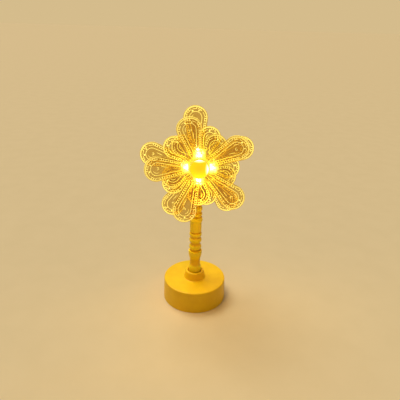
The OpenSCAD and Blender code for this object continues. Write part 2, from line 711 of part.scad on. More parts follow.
// Drop shape along X: two discs and straight sides, which end just inside the discs
tuck = 0.99;
module drop(x0, r0, x1, r1, h) {
    a = lean(x0, r0, x1, r1);
    low = tuck * r0;
    high = tuck * r1;
    translate([x0, 0, 0]) cylinder(h = h, r = r0);
    translate([x1, 0, 0]) cylinder(h = h, r = r1);
    linear_extrude(h) polygon([
        [x0 - low * sin(a), low * cos(a)], [x1 - high * sin(a), high * cos(a)],
        [x1 - high * sin(a), -high * cos(a)], [x0 - low * sin(a), -low * cos(a)]
    ]);
}
module drop_line(x0, r0, x1, r1) difference() {
    drop(x0, r0, x1, r1, engrave_depth + cut);
    translate([0, 0, -cut]) drop(x0, r0 - line_w, x1, r1 - line_w, engrave_depth + 3 * cut);
}

// Engraved lines of one petal, as the solid to cut from its front
module petal_lines(tip_x, tip_r) {
    leaf_root_r = 1.6;
    translate([0, 0, sheet_t - engrave_depth]) {
        difference() {
            for (inset = [border_inset, inner_border_inset])
                drop_line(root_x, root_r - inset, tip_x, tip_r - inset);
            translate([0, 0, -cut]) cylinder(h = 4 * cut, r = hub_r + 1);
        }
        drop_line(hub_r + leaf_root_r + 2, leaf_root_r, tip_x, tip_r - leaf_inset);
    }
}

// A flat sheet: five petals round a solid middle, bored for the core and engraved on its front
module flat_sheet(reach, tip_r, turn) {
    tip_x = reach - tip_r;
    rotate(turn) difference() {
        linear_extrude(sheet_t) polygon(sheet_outline(tip_x, tip_r));
        translate([0, 0, -cut]) cylinder(h = sheet_t + 2 * cut, r = core_r + fit);
        for (k = [0:petals - 1]) rotate(360 / petals * k) petal_lines(tip_x, tip_r);
    }
}

// Outline of one petal, from the fold to the tip
function petal_outline(tip_x, tip_r) =
    let (
        a = lean(root_x, root_r, tip_x, tip_r),
        half = (root_r + (fold_x - root_x) * sin(a)) / cos(a))
    concat([[fold_x, half], [fold_x, -half]], arc(tip_x, 0, tip_r, -90 - a, 90 + a, 24));

// A cupped sheet: its petals lean forward from folds in its flat middle
module cupped_sheet(reach, tip_r, turn, cup) {
    tip_x = reach - tip_r;
    fold_z = sheet_t * (1 - cos(cup)) / 2;
    rotate(turn) difference() {
        union() {
            cylinder(h = sheet_t, r = hub_r);
            for (k = [0:petals - 1]) rotate(360 / petals * k)
                translate([fold_x, 0, fold_z]) rotate([0, -cup, 0]) translate([-fold_x, 0, 0]) difference() {
                    linear_extrude(sheet_t) polygon(petal_outline(tip_x, tip_r));
                    petal_lines(tip_x, tip_r);
                }
        }
        translate([0, 0, -cut]) cylinder(h = sheet_t + 2 * cut, r = core_r + fit);
    }
}
module rear_large_petals() color(acrylic) on_head(rear_large_s)
    flat_sheet(rear_large_reach, large_tip_r, rear_large_turn);
module rear_medium_petals() color(acrylic) on_head(rear_medium_s)
    flat_sheet(rear_medium_reach, medium_tip_r, rear_medium_turn);
module front_large_petals() color(acrylic) on_head(front_large_s)
    cupped_sheet(front_large_reach, large_tip_r, front_large_turn, front_cup);
module front_medium_petals() color(acrylic) on_head(front_medium_s)
    flat_sheet(front_medium_reach, medium_tip_r, front_medium_turn);

base_shell();
base_plate();
base_screws();
battery_door();
cell_front();
cell_middle();
cell_rear();
contact_springs();
contact_plates();
switch_frame();
switch_body();
switch_terminals();
switch_knob();
switch_screws();
resistor();
lead_wires();
stem_lower();
stem_upper();
head_bracket();
lamp_core();
led_board();
led_ring();
leds();
spacer_rear();
spacer_front();
rear_large_petals();
rear_medium_petals();
front_large_petals();
front_medium_petals();
front_cap();
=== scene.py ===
# %% [markdown]
# # An acrylic flower lamp, dressed on its frame
# The lamp comes in as finished solids: a round base, a turned stem, and four clear sheets on a core with
# four lights round it. This lesson gives those solids their finishes and draws the glowing engraving that
# makes the sheets look like flowers. Nothing here moves or reshapes a solid.

# %% Load the frame
import json
import math
import random

import bpy
from mathutils import Matrix, Vector


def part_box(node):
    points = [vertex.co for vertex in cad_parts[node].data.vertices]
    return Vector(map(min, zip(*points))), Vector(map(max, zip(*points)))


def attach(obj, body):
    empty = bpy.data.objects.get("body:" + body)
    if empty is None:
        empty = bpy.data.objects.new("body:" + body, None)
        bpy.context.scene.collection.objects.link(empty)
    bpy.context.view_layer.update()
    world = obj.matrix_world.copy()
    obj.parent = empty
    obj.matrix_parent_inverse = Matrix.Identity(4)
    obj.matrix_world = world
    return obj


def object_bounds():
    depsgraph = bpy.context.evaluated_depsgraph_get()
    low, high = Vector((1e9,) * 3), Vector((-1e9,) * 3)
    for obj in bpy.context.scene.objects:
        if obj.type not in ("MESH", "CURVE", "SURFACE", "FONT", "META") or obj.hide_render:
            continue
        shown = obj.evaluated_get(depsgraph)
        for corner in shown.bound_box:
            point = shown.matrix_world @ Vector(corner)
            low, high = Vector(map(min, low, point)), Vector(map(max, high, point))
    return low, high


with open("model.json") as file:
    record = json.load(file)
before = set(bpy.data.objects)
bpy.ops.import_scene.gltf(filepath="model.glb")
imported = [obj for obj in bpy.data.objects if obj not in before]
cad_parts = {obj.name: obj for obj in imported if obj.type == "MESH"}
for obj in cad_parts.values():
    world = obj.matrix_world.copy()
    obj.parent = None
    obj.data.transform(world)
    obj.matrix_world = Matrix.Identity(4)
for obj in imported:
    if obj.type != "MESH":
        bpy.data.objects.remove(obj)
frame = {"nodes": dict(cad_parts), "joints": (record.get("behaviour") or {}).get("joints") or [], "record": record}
nodes = frame["nodes"]
cad_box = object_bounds()
print("frame:", len(nodes), "nodes; box from", tuple(cad_box[0]), "to", tuple(cad_box[1]))

# %% [markdown]
# ## The camera
# The camera stands above the table and a little to the left, and looks down at the lamp. Its place and
# angles were found by fitting the base's ellipse and the petals' tips, so they are plain measured values.
# A matrix built from three directions shows what yaw, pitch and roll do, where Euler angles would hide it.

# %% Camera
CAMERA_AT = Vector((-0.0282, -0.3917, 0.2933))
CAMERA_YAW = math.radians(4.68)
CAMERA_PITCH = math.radians(23.62)
CAMERA_ROLL = math.radians(1.67)
CAMERA_LENS = 36
CAMERA_SENSOR = 36
CAMERA_NEAR = 0.01


def camera_axes(yaw, pitch, roll):
    """The camera's own X, Y and Z in the world, for a look along +Y turned by these angles."""
    ahead = Vector((math.sin(yaw) * math.cos(pitch), math.cos(yaw) * math.cos(pitch), -math.sin(pitch)))
    right = Vector((math.cos(yaw), -math.sin(yaw), 0))
    up = right.cross(ahead)
    x_axis = right * math.cos(roll) + up * math.sin(roll)
    y_axis = up * math.cos(roll) - right * math.sin(roll)
    return x_axis, y_axis, -ahead


lens = bpy.data.cameras.new("table_camera")
lens.lens = CAMERA_LENS
lens.sensor_width = CAMERA_SENSOR
lens.clip_start = CAMERA_NEAR
camera = bpy.data.objects.new("table_camera", lens)
bpy.context.scene.collection.objects.link(camera)
turn = Matrix(camera_axes(CAMERA_YAW, CAMERA_PITCH, CAMERA_ROLL)).transposed()
camera.matrix_world = Matrix.Translation(CAMERA_AT) @ turn.to_4x4()
bpy.context.scene.camera = camera
bpy.context.scene.view_settings.view_transform = "Standard"
print("camera at", tuple(CAMERA_AT))

# %% [markdown]
# ## Colours and nodes
# Every finish starts from Blender's Principled shader. A colour is written as 0 to 255 and turned into the
# linear values that shaders use. Fine noise keeps any surface from being a single flat colour, and it reads
# object coordinates, so it needs no unwrapping. The last helpers do arithmetic on a point's place, for
# finishes that change with a distance.

# %% Colour and noise helpers
NOISE_DETAIL = 3
GRAIN_STRENGTH = 0.4


def linear(red, green, blue):
    """Shader colour of a screen colour written 0 to 255."""
    values = []
    for channel in (red, green, blue):
        v = channel / 255
        values.append(v / 12.92 if v <= 0.04045 else ((v + 0.055) / 1.055) ** 2.4)
    return (*values, 1)


def new_finish(name):
    """A material with its node tree and its Principled shader."""
    finish = bpy.data.materials.new(name)
    finish.use_nodes = True
    return finish, finish.node_tree, finish.node_tree.nodes["Principled BSDF"]


def place_of(tree):
    """Object coordinates in metres."""
    return tree.nodes.new("ShaderNodeTexCoord").outputs["Object"]


def noise(tree, per_metre):
    """Noise with that many features to a metre."""
    texture = tree.nodes.new("ShaderNodeTexNoise")
    texture.inputs["Scale"].default_value = per_metre
    texture.inputs["Detail"].default_value = NOISE_DETAIL
    tree.links.new(place_of(tree), texture.inputs["Vector"])
    return texture.outputs["Fac"]


def shades(tree, value, first, last, start=0.35, end=0.65):
    """Colours between two shades as a value goes from start to end."""
    ramp = tree.nodes.new("ShaderNodeValToRGB")
    ramp.color_ramp.elements[0].position = start
    ramp.color_ramp.elements[0].color = first
    ramp.color_ramp.elements[1].position = end
    ramp.color_ramp.elements[1].color = last
    tree.links.new(value, ramp.inputs["Fac"])
    return ramp.outputs["Color"]


def spread(tree, value, low, high, start=0, end=1):
    """A value mapped from start..end to low..high."""
    mapping = tree.nodes.new("ShaderNodeMapRange")
    mapping.inputs["From Min"].default_value = start
    mapping.inputs["From Max"].default_value = end
    mapping.inputs["To Min"].default_value = low
    mapping.inputs["To Max"].default_value = high
    tree.links.new(value, mapping.inputs["Value"])
    return mapping.outputs["Result"]


def grain(tree, shader, per_metre, depth):
    """Fine surface relief of a given depth in metres."""
    bump = tree.nodes.new("ShaderNodeBump")
    bump.inputs["Strength"].default_value = GRAIN_STRENGTH
    bump.inputs["Distance"].default_value = depth
    tree.links.new(noise(tree, per_metre), bump.inputs["Height"])
    tree.links.new(bump.outputs["Normal"], shader.inputs["Normal"])


print("colour and noise helpers ready")

# %% Arithmetic helpers
def graded(tree, measure, start, end, first, last):
    """Colours between two shades as a measure in metres goes from start to end."""
    return shades(tree, spread(tree, measure, 0, 1, start, end), first, last, 0, 1)


def number_math(tree, operation, first, second):
    """An arithmetic step on a value, with another value or a fixed number."""
    step = tree.nodes.new("ShaderNodeMath")
    step.operation = operation
    tree.links.new(first, step.inputs[0])
    if isinstance(second, (int, float)):
        step.inputs[1].default_value = second
    else:
        tree.links.new(second, step.inputs[1])
    return step.outputs["Value"]


def vector_math(tree, operation, vector, fixed=None):
    """A vector step on a value, with a fixed second vector where the step takes one."""
    step = tree.nodes.new("ShaderNodeVectorMath")
    step.operation = operation
    tree.links.new(vector, step.inputs[0])
    if fixed is not None:
        step.inputs[1].default_value = fixed
    return step.outputs["Value" if operation in ("LENGTH", "DISTANCE") else "Vector"]


print("arithmetic helpers ready")

# %% [markdown]
# ## The floor
# A lamp is best shown on a plain pale floor. A curved backdrop would do as well, but the camera looks down,
# so one wide flat sheet is enough, and the sky beyond it gets the same tone.

# %% Floor
FLOOR_SPAN = 80
FLOOR_TONE = linear(222, 196, 146)
FLOOR_DIM = linear(220, 194, 144)
FLOOR_MOTTLE = 30
FLOOR_ROUGHNESS = 0.9
FLOOR_SPECULAR = 0.2

floor_mesh = bpy.data.meshes.new("floor")
half_span = FLOOR_SPAN / 2
floor_corners = [(-half_span, -half_span, 0), (half_span, -half_span, 0),
                 (half_span, half_span, 0), (-half_span, half_span, 0)]
floor_mesh.from_pydata(floor_corners, [], [(0, 1, 2, 3)])
floor = bpy.data.objects.new("floor", floor_mesh)
bpy.context.scene.collection.objects.link(floor)
floor.location.z = cad_box[0].z
floor_finish, tree, shader = new_finish("floor_paper")
floor_colour = shades(tree, noise(tree, FLOOR_MOTTLE), FLOOR_DIM, FLOOR_TONE)
tree.links.new(floor_colour, shader.inputs["Base Color"])
shader.inputs["Roughness"].default_value = FLOOR_ROUGHNESS
shader.inputs["Specular IOR Level"].default_value = FLOOR_SPECULAR
floor_mesh.materials.append(floor_finish)
print("floor", FLOOR_SPAN, "m across")

# %% [markdown]
# ## The sky
# The sky fills the shadows with a weak warm light. What the camera sees of it, straight or in gloss and
# glass, is another background with the floor's tone, so the horizon doesn't show. Light Path tells the two
# kinds of ray apart.

# %% Sky
SKY_TONE = linear(255, 248, 236)
SKY_STRENGTH = 0.22
SEEN_STRENGTH = 0.912

world = bpy.data.worlds.new("studio")
world.use_nodes = True
bpy.context.scene.world = world
tree = world.node_tree
sky = tree.nodes["Background"]
sky.inputs["Color"].default_value = SKY_TONE
sky.inputs["Strength"].default_value = SKY_STRENGTH
seen_sky = tree.nodes.new("ShaderNodeBackground")
seen_sky.inputs["Color"].default_value = FLOOR_TONE
seen_sky.inputs["Strength"].default_value = SEEN_STRENGTH
path = tree.nodes.new("ShaderNodeLightPath")
seen = path.outputs["Is Camera Ray"]
for kind in ("Is Glossy Ray", "Is Transmission Ray"):
    seen = number_math(tree, "MAXIMUM", seen, path.outputs[kind])
choice = tree.nodes.new("ShaderNodeMixShader")
tree.links.new(seen, choice.inputs["Fac"])
tree.links.new(sky.outputs["Background"], choice.inputs[1])
tree.links.new(seen_sky.outputs["Background"], choice.inputs[2])
tree.links.new(choice.outputs["Shader"], tree.nodes["World Output"].inputs["Surface"])
print("sky", SKY_STRENGTH)

# %% [markdown]
# ## The lamps
# A wide soft sun overhead makes the base's top bright and lets its side fall into shade, as it does under a
# lit flower. The light that the flower throws down on its stem and base could come from its glowing mesh
# alone, but that is slow to settle, so a small point light in front of the flower does most of it.

# %% Lamps
OVERHEAD_STRENGTH = 2.3
OVERHEAD_SPREAD = math.radians(40)
OVERHEAD_TILT = (math.radians(-14), math.radians(-16), 0)
FLOWER_LIGHT_AT = Vector((0, -0.034, 0.142))
FLOWER_LIGHT_POWER = 0.25
FLOWER_LIGHT_SIZE = 0.012
FLOWER_LIGHT_TONE = linear(255, 206, 74)

overhead = bpy.data.lights.new("overhead", "SUN")
overhead.energy = OVERHEAD_STRENGTH
overhead.angle = OVERHEAD_SPREAD
overhead_lamp = bpy.data.objects.new("overhead", overhead)
overhead_lamp.rotation_euler = OVERHEAD_TILT
bpy.context.scene.collection.objects.link(overhead_lamp)

glow = bpy.data.lights.new("flower_light", "POINT")
glow.energy = FLOWER_LIGHT_POWER
glow.color = FLOWER_LIGHT_TONE[:3]
glow.shadow_soft_size = FLOWER_LIGHT_SIZE
glow_lamp = bpy.data.objects.new("flower_light", glow)
glow_lamp.location = FLOWER_LIGHT_AT
glow_lamp.visible_camera = False
glow_lamp.visible_glossy = False
glow_lamp.visible_transmission = False
bpy.context.scene.collection.objects.link(glow_lamp)
print("overhead", OVERHEAD_STRENGTH, "flower", FLOWER_LIGHT_POWER)

# %% [markdown]
# ## Moulded plastic
# The base, stem and head are injection moulded in a warm golden plastic that lets a little light in. A
# soft mottle stands for the resin's uneven colour, a finer one breaks the gloss, and shallow relief gives
# the satin of a moulded face. A little subsurface keeps the shaded side warm.

# %% Plastics
RESIN_MOTTLE = 90
GLOSS_MOTTLE = 700
GLOSS_RANGE = 0.07
MOULD_GRAIN = 2600
MOULD_DEPTH = 0.00004
RESIN_REACH = (0.004, 0.002, 0.0007)
RESIN_GLOW = 0.12
PLASTIC_ROUGHNESS = 0.42
PLASTIC_SPECULAR = 0.28


def plastic_face(tree, shader, roughness=PLASTIC_ROUGHNESS):
    """The gloss, relief and inner glow of a moulded face, without its colour."""
    gloss = spread(tree, noise(tree, GLOSS_MOTTLE), roughness - GLOSS_RANGE, roughness + GLOSS_RANGE)
    tree.links.new(gloss, shader.inputs["Roughness"])
    grain(tree, shader, MOULD_GRAIN, MOULD_DEPTH)
    shader.inputs["Specular IOR Level"].default_value = PLASTIC_SPECULAR
    shader.inputs["Subsurface Weight"].default_value = RESIN_GLOW
    shader.inputs["Subsurface Radius"].default_value = RESIN_REACH
    shader.inputs["Subsurface Scale"].default_value = 1


def moulded(name, light, dark, roughness=PLASTIC_ROUGHNESS):
    """A moulded plastic with a mottle of two shades."""
    finish, tree, shader = new_finish(name)
    plastic_face(tree, shader, roughness)
    tree.links.new(shades(tree, noise(tree, RESIN_MOTTLE), dark, light), shader.inputs["Base Color"])
    return finish


ivory_plastic = moulded("ivory_plastic", linear(252, 200, 8), linear(246, 191, 4))
shade_plastic = moulded("shade_plastic", linear(248, 202, 16), linear(240, 191, 10), roughness=0.5)
switch_plastic = moulded("switch_plastic", linear(52, 48, 46), linear(40, 37, 36), roughness=0.38)
print("plastics:", ivory_plastic.name, shade_plastic.name, switch_plastic.name)

# %% [markdown]
# ## The turned stem
# The grooves and the waist are given a deeper colour than the beads. This is painted shade, standing in for the
# shade that falls in them under light from above. Here the colour follows the distance from the stem's axis, which
# is the length of a point's place with its height taken away.

# %% Stem finish
GROOVE_R = 0.0055
RING_R = 0.0067
# Painted shade: the deeper tone at the grooves' radius stands in for the shade that falls in them.
GROOVE_SHADE_TONE = linear(242, 184, 8)
RING_TONE = linear(255, 216, 14)
WITHOUT_HEIGHT = (1, 1, 0)

turned_plastic, tree, shader = new_finish("turned_plastic")
plastic_face(tree, shader)
stem_r = vector_math(tree, "LENGTH", vector_math(tree, "MULTIPLY", place_of(tree), WITHOUT_HEIGHT))
stem_painted_shade = graded(tree, stem_r, GROOVE_R, RING_R, GROOVE_SHADE_TONE, RING_TONE)
tree.links.new(stem_painted_shade, shader.inputs["Base Color"])
print("stem finish from", GROOVE_R, "to", RING_R)

# %% [markdown]
# ## Where the light comes from
# Everything that shines on this lamp shines because of its four small lights, so a finish has to know how
# far a point is from the flower's axis, and how far from the nearest light. The axis comes from the joint
# that the rear sheet turns on. A cross product with the axis drops the part of an offset that lies along
# it, so its length is the first distance.

# %% The flower's own axes
turn_joint = next(j for j in frame["joints"] if j["child"] == "rear_large_petals")
HUB = Vector(turn_joint["pos_m"])
AXIS = Vector(turn_joint["axis"]).normalized()
ACROSS = Vector((1, 0, 0))
UP = AXIS.cross(ACROSS)


def axis_distance(tree):
    """Distance of a surface point from the flower's axis, in metres."""
    offset = vector_math(tree, "SUBTRACT", place_of(tree), HUB)
    return vector_math(tree, "LENGTH", vector_math(tree, "CROSS_PRODUCT", offset, AXIS))


print("flower axis", tuple(AXIS), "through", tuple(HUB))

# %% [markdown]
# ## The four lights
# The lights' places are read off their lenses. The ones at the right and the top burn stronger than the
# others, so distances to them count for less. World places are used here instead of object coordinates,
# because a sheet can turn while the lights stand still, and the glare has to stay with the lights.

# %% The four lights
LIGHTS = 4
LENS_R = 0.00245
STRONG_RISE = 0.9
STRONG_WAY = (ACROSS + UP * STRONG_RISE).normalized()
STRONGER = 0.1

lens_corners = [vertex.co - HUB for vertex in nodes["leds"].data.vertices]
farthest = max(lens_corners, key=lambda c: c.cross(AXIS).length)
light_level = sum(c.dot(AXIS) for c in lens_corners) / len(lens_corners)
light_reach = farthest.cross(AXIS).length - LENS_R
first_angle = math.atan2(farthest.dot(UP), farthest.dot(ACROSS))
light_angles = [first_angle + 2 * math.pi * k / LIGHTS for k in range(LIGHTS)]
light_ways = [ACROSS * math.cos(angle) + UP * math.sin(angle) for angle in light_angles]
light_places = [HUB + AXIS * light_level + way * light_reach for way in light_ways]


def light_distance(tree, stronger=STRONGER):
    """Distance of a surface point from the nearest light, in metres, cut short by a strong light."""
    place = tree.nodes.new("ShaderNodeNewGeometry").outputs["Position"]
    nearest = None
    for light_place, way in zip(light_places, light_ways):
        reach = vector_math(tree, "DISTANCE", place, light_place)
        shone = number_math(tree, "DIVIDE", reach, 1 + stronger * max(0, way.dot(STRONG_WAY)))
        nearest = shone if nearest is None else number_math(tree, "MINIMUM", nearest, shone)
    return nearest


print("lights", [tuple(round(v, 4) for v in p) for p in light_places])

# %% [markdown]
# ## Lit acrylic
# The sheets are clear acrylic, and light from the middle runs inside them. Full glass would bend and darken
# everything behind four sheets, so part of the light is let straight through with an alpha, and the rest is tinted
# glass that keeps the gloss. Near the hub the tint is pale, which is painted light standing in for the four lights
# flooding the sheet there. Further out it turns amber, and close to a light the sheet itself glows.

# %% Acrylic
ACRYLIC_ALPHA = 0.88
ACRYLIC_IOR = 1.49
PALE_R = 0.012
AMBER_R = 0.026
# Painted light: the pale tint near the hub stands in for the light of the four lights nearby.
PAINTED_LIGHT_TINT = linear(255, 240, 176)
AMBER_TINT = linear(230, 193, 84)
CLOUD = 0.06
CLOUD_MOTTLE = 60
SMEAR_MOTTLE = 300
ACRYLIC_GLOSS = (0.02, 0.07)
GLARE = 1.4
GLARE_START = 0.004
GLARE_END = 0.0078
GLARE_CORE = linear(255, 250, 220)
GLARE_HALO = linear(255, 226, 20)

acrylic, tree, shader = new_finish("acrylic")
outward = spread(tree, axis_distance(tree), 0, 1 - CLOUD, PALE_R, AMBER_R)
cloud = spread(tree, noise(tree, CLOUD_MOTTLE), -CLOUD, CLOUD)
tint = shades(tree, number_math(tree, "ADD", outward, cloud), PAINTED_LIGHT_TINT, AMBER_TINT, 0, 1)
tree.links.new(tint, shader.inputs["Base Color"])
tree.links.new(spread(tree, noise(tree, SMEAR_MOTTLE), *ACRYLIC_GLOSS), shader.inputs["Roughness"])
shader.inputs["Transmission Weight"].default_value = 1
shader.inputs["IOR"].default_value = ACRYLIC_IOR
shader.inputs["Alpha"].default_value = ACRYLIC_ALPHA
near = light_distance(tree)
glare_tone = graded(tree, near, GLARE_START, GLARE_END, GLARE_CORE, GLARE_HALO)
tree.links.new(glare_tone, shader.inputs["Emission Color"])
tree.links.new(spread(tree, near, GLARE, 0, GLARE_START, GLARE_END), shader.inputs["Emission Strength"])
print("acrylic alpha", ACRYLIC_ALPHA)

# %% [markdown]
# ## Metal and board
# Under the base are steel screws, springs and contacts, and in the head is a small green board. They are
# seen only when the lamp is opened, but each still has its own finish. Brushed steel gets an uneven
# gloss, and coated pieces share one soft gloss with a fine grain.

# %% Steel and board
STEEL_TONE = linear(206, 206, 202)
STEEL_DIM = linear(176, 176, 174)
STEEL_MOTTLE = 900
STEEL_GLOSS = (0.22, 0.4)
BRUSHING = 2500
BRUSHED_GRAIN = 5000
BRUSHED_DEPTH = 0.00001
BOARD_TONE = linear(58, 120, 74)
BOARD_DIM = linear(46, 104, 62)
BOARD_MOTTLE = 400
BOARD_GLOSS = (0.39, 0.51)
COATED_MOTTLE = 1500
COATED_GRAIN = 3000
COATED_DEPTH = 0.00002


def coated_face(tree, shader, roughnesses):
    """A soft gloss between two roughnesses, with a fine grain."""
    gloss = spread(tree, noise(tree, COATED_MOTTLE), *roughnesses)
    tree.links.new(gloss, shader.inputs["Roughness"])
    grain(tree, shader, COATED_GRAIN, COATED_DEPTH)


steel, tree, shader = new_finish("steel")
tree.links.new(shades(tree, noise(tree, STEEL_MOTTLE), STEEL_DIM, STEEL_TONE), shader.inputs["Base Color"])
tree.links.new(spread(tree, noise(tree, BRUSHING), *STEEL_GLOSS), shader.inputs["Roughness"])
shader.inputs["Metallic"].default_value = 1
grain(tree, shader, BRUSHED_GRAIN, BRUSHED_DEPTH)

board, tree, shader = new_finish("board")
tree.links.new(shades(tree, noise(tree, BOARD_MOTTLE), BOARD_DIM, BOARD_TONE), shader.inputs["Base Color"])
coated_face(tree, shader, BOARD_GLOSS)
print("inner finishes:", steel.name, board.name)

# %% [markdown]
# ## Cells, resistor and wires
# A cell and a resistor are ringed along their length. Painting faces would need extra cuts in the mesh, so
# one helper gives both of them sharp bands of colour, placed as shares of the solid's own box. The two
# wires run side by side in one node, so their red and black part along a line between them, which slants
# where they spread out in the base.

# %% Bands on cells and resistor
WRAP = linear(64, 106, 78)
COPPER = linear(196, 132, 70)
TAN = linear(214, 184, 138)
BROWN_RING = linear(120, 70, 40)
DARK_RING = linear(30, 28, 28)
RED_RING = linear(170, 40, 34)
CELL_BANDS = [(0, STEEL_TONE), (0.025, WRAP), (0.78, COPPER), (0.955, STEEL_TONE)]
RESISTOR_BANDS = [
    (0, STEEL_TONE), (0.252, TAN), (0.33, BROWN_RING), (0.38, TAN), (0.44, DARK_RING),
    (0.49, TAN), (0.55, RED_RING), (0.6, TAN), (0.748, STEEL_TONE),
]
CELL_PLUS = {"cell_front": 1, "cell_middle": -1, "cell_rear": 1}
BAND_GLOSS = (0.26, 0.4)


def part_of_place(tree, axis):
    """One object coordinate, in metres."""
    split = tree.nodes.new("ShaderNodeSeparateXYZ")
    tree.links.new(place_of(tree), split.inputs["Vector"])
    return split.outputs[axis]


def banded(node, axis, bands, way=1):
    """A finish ringed along an axis of a solid, from its low end, or from its high end if way is -1."""
    ends = [corner["XYZ".index(axis)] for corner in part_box(node)][::way]
    finish, tree, shader = new_finish(node + "_bands")
    ramp = tree.nodes.new("ShaderNodeValToRGB")
    ramp.color_ramp.interpolation = "CONSTANT"
    stops = ramp.color_ramp.elements
    while len(stops) < len(bands):
        stops.new(1)
    for stop, (share, colour) in zip(stops, bands):
        stop.position = share
        stop.color = colour
    tree.links.new(spread(tree, part_of_place(tree, axis), 0, 1, *ends), ramp.inputs["Fac"])
    tree.links.new(ramp.outputs["Color"], shader.inputs["Base Color"])
    coated_face(tree, shader, BAND_GLOSS)
    return finish


inner_bands = {cell: banded(cell, "X", CELL_BANDS, way) for cell, way in CELL_PLUS.items()}
inner_bands["resistor"] = banded("resistor", "Y", RESISTOR_BANDS)
print("banded:", sorted(inner_bands))

# %% Red and black wire
WIRE_RED = linear(186, 42, 34)
WIRE_BLACK = linear(38, 36, 38)
WIRE_SPLIT = (-0.0007, 0.0003)
SPLIT_SHARES = (0.49, 0.51)
SPLIT_SLANT = 0.3
SLANT_RUN = 0.03
WIRE_GLOSS = (0.4, 0.52)

wire, tree, shader = new_finish("wire")
slant = spread(tree, part_of_place(tree, "Y"), 0, SPLIT_SLANT * SLANT_RUN, 0, SLANT_RUN)
aside = number_math(tree, "ADD", part_of_place(tree, "X"), slant)
wire_side = spread(tree, aside, 0, 1, *WIRE_SPLIT)
tree.links.new(shades(tree, wire_side, WIRE_BLACK, WIRE_RED, *SPLIT_SHARES), shader.inputs["Base Color"])
coated_face(tree, shader, WIRE_GLOSS)
print("wires: black on the left, red on the right")

# %% [markdown]
# ## Lit lenses, rings and cap
# The four lights point outwards from the core and feed the sheets through their edges. Their domes are so
# bright that they read as white, so the finish is an emission that is strongest at the dome, told apart by
# the distance from the axis. The rings round the core glow with them. The cap hides the core, and light
# soaks through it: warm in the middle, and white where the two strong lights flare over its rim. Every lit
# finish has a dim body, so that the lamps outside hardly change its tone.

# %% Lit lenses and rings
LIT_BODY = linear(140, 112, 12)
LIT_ROUGHNESS = 0.5


def lit(name, tones, powers, radii):
    """A dim body that shines: tone and power go from first to last over a range of radii."""
    finish, tree, shader = new_finish(name)
    radius = axis_distance(tree)
    colour = graded(tree, radius, *radii, *tones)
    tree.links.new(colour, shader.inputs["Emission Color"])
    shader.inputs["Base Color"].default_value = LIT_BODY
    tree.links.new(spread(tree, radius, *powers, *radii), shader.inputs["Emission Strength"])
    shader.inputs["Roughness"].default_value = LIT_ROUGHNESS
    return finish


led_lens = lit("led_lens", tones=(linear(255, 244, 190), linear(255, 252, 240)),
               powers=(8, 22), radii=(0.008, 0.014))
glowing_ring = lit("glowing_ring", tones=(linear(255, 214, 60), linear(255, 236, 120)),
                   powers=(0.9, 1.2), radii=(0.008, 0.012))
print("lit finishes:", led_lens.name, glowing_ring.name)

# %% Glowing cap
CAP_MIDDLE = linear(254, 204, 18)
CAP_RIM = linear(255, 228, 6)
CAP_RADII = (0.001, 0.008)
CAP_POWER = 0.84
CAP_STRONGER = 0.9
HOT_TONE = linear(255, 252, 226)
HOT_POWER = 2.2
HOT_START = 0.0067
HOT_END = 0.0081

glowing_cap, tree, shader = new_finish("glowing_cap")
warm = graded(tree, axis_distance(tree), *CAP_RADII, CAP_MIDDLE, CAP_RIM)
heat = spread(tree, light_distance(tree, CAP_STRONGER), 1, 0, HOT_START, HOT_END)
heated = tree.nodes.new("ShaderNodeMixRGB")
heated.inputs["Color2"].default_value = HOT_TONE
tree.links.new(heat, heated.inputs["Fac"])
tree.links.new(warm, heated.inputs["Color1"])
tree.links.new(heated.outputs["Color"], shader.inputs["Emission Color"])
tree.links.new(spread(tree, heat, CAP_POWER, HOT_POWER), shader.inputs["Emission Strength"])
shader.inputs["Base Color"].default_value = LIT_BODY
shader.inputs["Roughness"].default_value = LIT_ROUGHNESS
print("cap finish:", glowing_cap.name)

# %% [markdown]
# ## Dressing the solids
# The record gives each solid a material slot, and most solids take the finish of that name. The stem, the
# rings, the cap and the banded pieces have finishes of their own, which come first.

# %% Finishes on the solids
FINISHES = {
    "ivory_plastic": ivory_plastic, "shade_plastic": shade_plastic, "acrylic": acrylic, "steel": steel,
    "switch_plastic": switch_plastic, "led_lens": led_lens, "board": board, "wire": wire,
}
OWN_FINISHES = {
    "stem_lower": turned_plastic, "stem_upper": turned_plastic,
    "led_ring": glowing_ring, "spacer_rear": glowing_ring, "spacer_front": glowing_ring,
    "front_cap": glowing_cap, **inner_bands,
}
for part in frame["record"]["subparts"]:
    solid = nodes[part["node"]]
    solid.data.materials.clear()
    finish = OWN_FINISHES.get(part["node"]) or FINISHES[part["material_slot"]]
    solid.data.materials.append(finish)

# %% [markdown]
# ## Solder
# A wire is joined to a tab by a bright bead of solder that has flowed and set. The beads are seen only
# with the lamp open, but without them the wires would seem to end in the air. A plain ball would look
# dropped in place, so each bead is a low drop turned from a profile. It is placed by the boxes of the
# solids that it joins, and all of them make one small mesh.

# %% A bead
BEAD_SIDES = 12
BEAD_PROFILE = ((0.9, -0.45), (1, -0.1), (0.86, 0.25), (0.6, 0.52), (0.3, 0.66))
BEAD_FOOT = -0.55
BEAD_TIP = 0.7


def bead(at, r, verts, faces):
    """Adds a drop of solder, turned round an upright axis, to a mesh's lists."""
    first = len(verts)
    for reach, height in BEAD_PROFILE:
        for side in range(BEAD_SIDES):
            angle = 2 * math.pi * side / BEAD_SIDES
            verts.append(at + Vector((reach * math.cos(angle), reach * math.sin(angle), height)) * r)
    foot = len(verts)
    verts.append(at + Vector((0, 0, BEAD_FOOT * r)))
    verts.append(at + Vector((0, 0, BEAD_TIP * r)))
    top = foot - BEAD_SIDES
    for side in range(BEAD_SIDES):
        after = (side + 1) % BEAD_SIDES
        faces.append((foot, first + after, first + side))
        faces.append((foot + 1, top + side, top + after))
        for low in range(first, top, BEAD_SIDES):
            faces.append((low + side, low + after, low + BEAD_SIDES + after, low + BEAD_SIDES + side))


